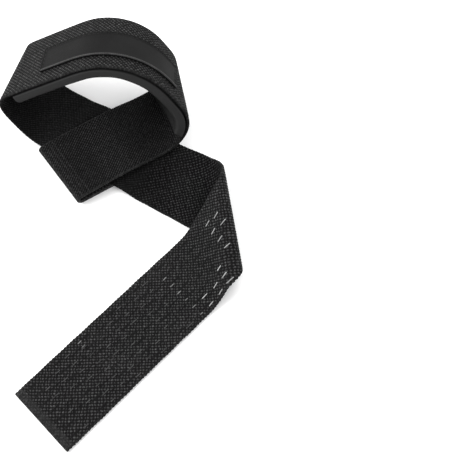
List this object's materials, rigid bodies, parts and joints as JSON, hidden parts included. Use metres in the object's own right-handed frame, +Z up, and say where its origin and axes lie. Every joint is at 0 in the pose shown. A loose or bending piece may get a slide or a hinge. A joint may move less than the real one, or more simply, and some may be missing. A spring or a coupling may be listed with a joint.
{
  "type": "padded weightlifting strap",
  "caption": "Padded wrist strap of black woven webbing for lifting, with a closed wrist loop, a small end loop it slides through and a long folded tail, lying on a surface.",
  "frame": {"origin": "middle of the footprint, on the surface the strap lies on", "axes": "+Z up, the long way of the strap's lie along Y, the tail toward -Y and -X, the wrist loop toward +Y"},
  "size_m": [0.1268, 0.218, 0.0502],
  "materials": {
    "webbing": "matte woven cotton and polyester webbing",
    "pad_foam": "matte soft foam rubber",
    "patch": "smooth flat woven patch"
  },
  "bodies": {
    "root": {"webbing": "webbing", "wrist_pad": "pad_foam", "label_patch": "patch"}
  },
  "joints": []
}
